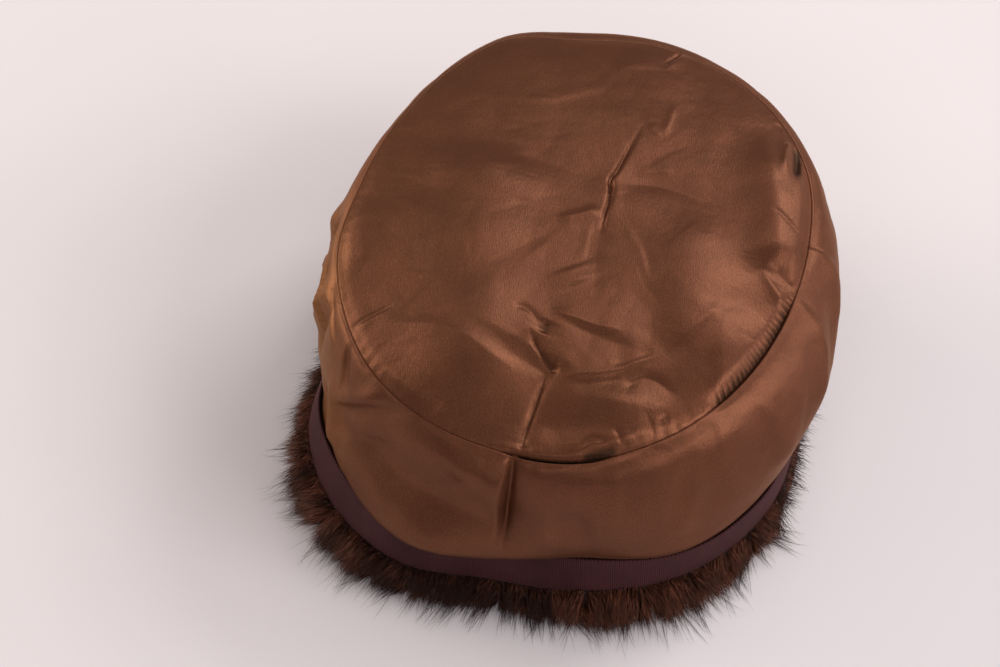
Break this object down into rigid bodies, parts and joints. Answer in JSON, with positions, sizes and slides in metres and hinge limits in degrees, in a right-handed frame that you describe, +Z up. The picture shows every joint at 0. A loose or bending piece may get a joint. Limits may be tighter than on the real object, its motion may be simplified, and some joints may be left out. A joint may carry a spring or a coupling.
{
  "type": "fur beret",
  "caption": "Fur beret turned inside out, resting on its fur edge, with a satin lining outside, a ribbon head band and a hollow lined with fur.",
  "frame": {"origin": "on the surface the hat rests on, under the middle of the hat's length and width", "axes": "+Z up from the fur edge to the lining's crown, -Y towards the side seen nearest in the picture, +X to that view's right"},
  "size_m": [0.1898, 0.2093, 0.0852],
  "materials": {
    "satin": "lustrous brown satin",
    "grosgrain": "ribbed, matt, plum brown",
    "fur": "dense mink fur, dark brown with near-black guard hairs"
  },
  "bodies": {
    "root": {"lining_tip": "satin", "lining_side": "satin", "head_ribbon": "grosgrain", "fur_edge": "fur", "fur_body": "fur"}
  },
  "joints": []
}
